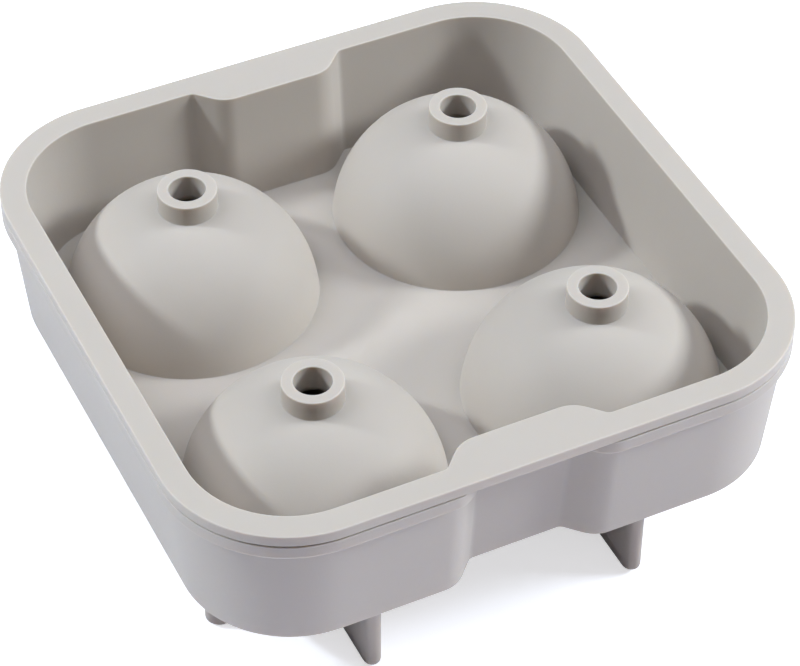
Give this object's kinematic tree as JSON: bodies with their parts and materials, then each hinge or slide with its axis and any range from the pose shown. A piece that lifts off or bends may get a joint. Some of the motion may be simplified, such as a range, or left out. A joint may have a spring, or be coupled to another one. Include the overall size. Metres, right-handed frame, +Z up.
{
  "type": "ice ball mould",
  "caption": "Square two-piece silicone ice ball tray: a lid of domes with fill spouts drops into a tray of half-ball cups on plate feet.",
  "frame": {"origin": "centre of the surface that the feet stand on", "axes": "+Z up out of the fill spouts; the finger waists face -Y and +Y; +X to the right of the front waist"},
  "size_m": [0.1262, 0.1262, 0.0557],
  "materials": {
    "tray_silicone": "matte moulded silicone, light warm grey",
    "lid_silicone": "matte moulded silicone, light warm grey"
  },
  "bodies": {
    "tray": {"tray": "tray_silicone"},
    "lid": {"lid": "lid_silicone"}
  },
  "joints": [
    {"name": "lid_lift", "type": "slide", "parent": "tray", "child": "lid", "axis": [0, 0, 1], "range_m": [0, 0.06]}
  ]
}
